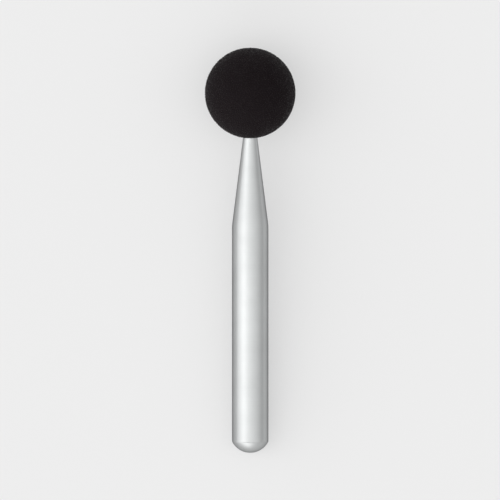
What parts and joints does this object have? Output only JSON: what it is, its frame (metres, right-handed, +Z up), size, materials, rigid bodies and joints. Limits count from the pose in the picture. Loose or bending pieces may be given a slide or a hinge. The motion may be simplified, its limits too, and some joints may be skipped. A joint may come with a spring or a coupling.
{
  "type": "dental bur",
  "caption": "Round dental bur: a ball head coated with black diamond grit on a tapered neck and a smooth steel friction-grip shank with a domed end.",
  "frame": {"origin": "on the table that the bur lies on, under the middle of its bounding box", "axes": "+Z up from the table, +Y from the shank's domed end towards the ball head. The bur's own axis lies in the YZ plane and climbs 4.5 degrees towards the head, because the head is thicker than the shank"},
  "size_m": [0.004, 0.0178, 0.004],
  "materials": {
    "bright_steel": "satin",
    "black_diamond_grit": "matte"
  },
  "bodies": {
    "root": {"round_bur": "bright_steel"}
  },
  "joints": []
}
